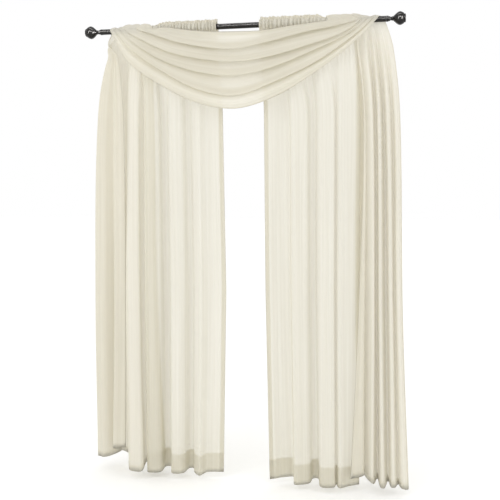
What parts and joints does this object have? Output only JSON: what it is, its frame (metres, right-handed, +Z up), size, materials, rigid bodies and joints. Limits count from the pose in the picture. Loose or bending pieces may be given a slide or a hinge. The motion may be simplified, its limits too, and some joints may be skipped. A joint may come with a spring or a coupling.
{
  "type": "sheer window scarf with rod-pocket curtain panels on a curtain rod",
  "caption": "Sheer voile scarf swagged over a round curtain rod with long tails at both ends, and the pair of rod-pocket voile panels that share the rod",
  "frame": {"origin": "on the rod's axis, at the middle of its length", "axes": "+X along the rod to the right as seen from the room, -Y towards the room, +Z up; the cloth hangs down from the rod"},
  "size_m": [1.4968, 0.2252, 2.09],
  "materials": {
    "scarf_voile": "matte ivory voile, slightly see-through, in folds two or three layers deep",
    "panel_voile": "matte ivory voile, see-through in one layer, denser at its hems and header",
    "rod_metal": "dark gunmetal, semi-gloss"
  },
  "bodies": {
    "root": {"scarf": "scarf_voile", "panel_left": "panel_voile", "panel_right": "panel_voile", "rod": "rod_metal", "rod_cap_left": "rod_metal", "rod_cap_right": "rod_metal", "finial_left": "rod_metal", "finial_right": "rod_metal"}
  },
  "joints": []
}
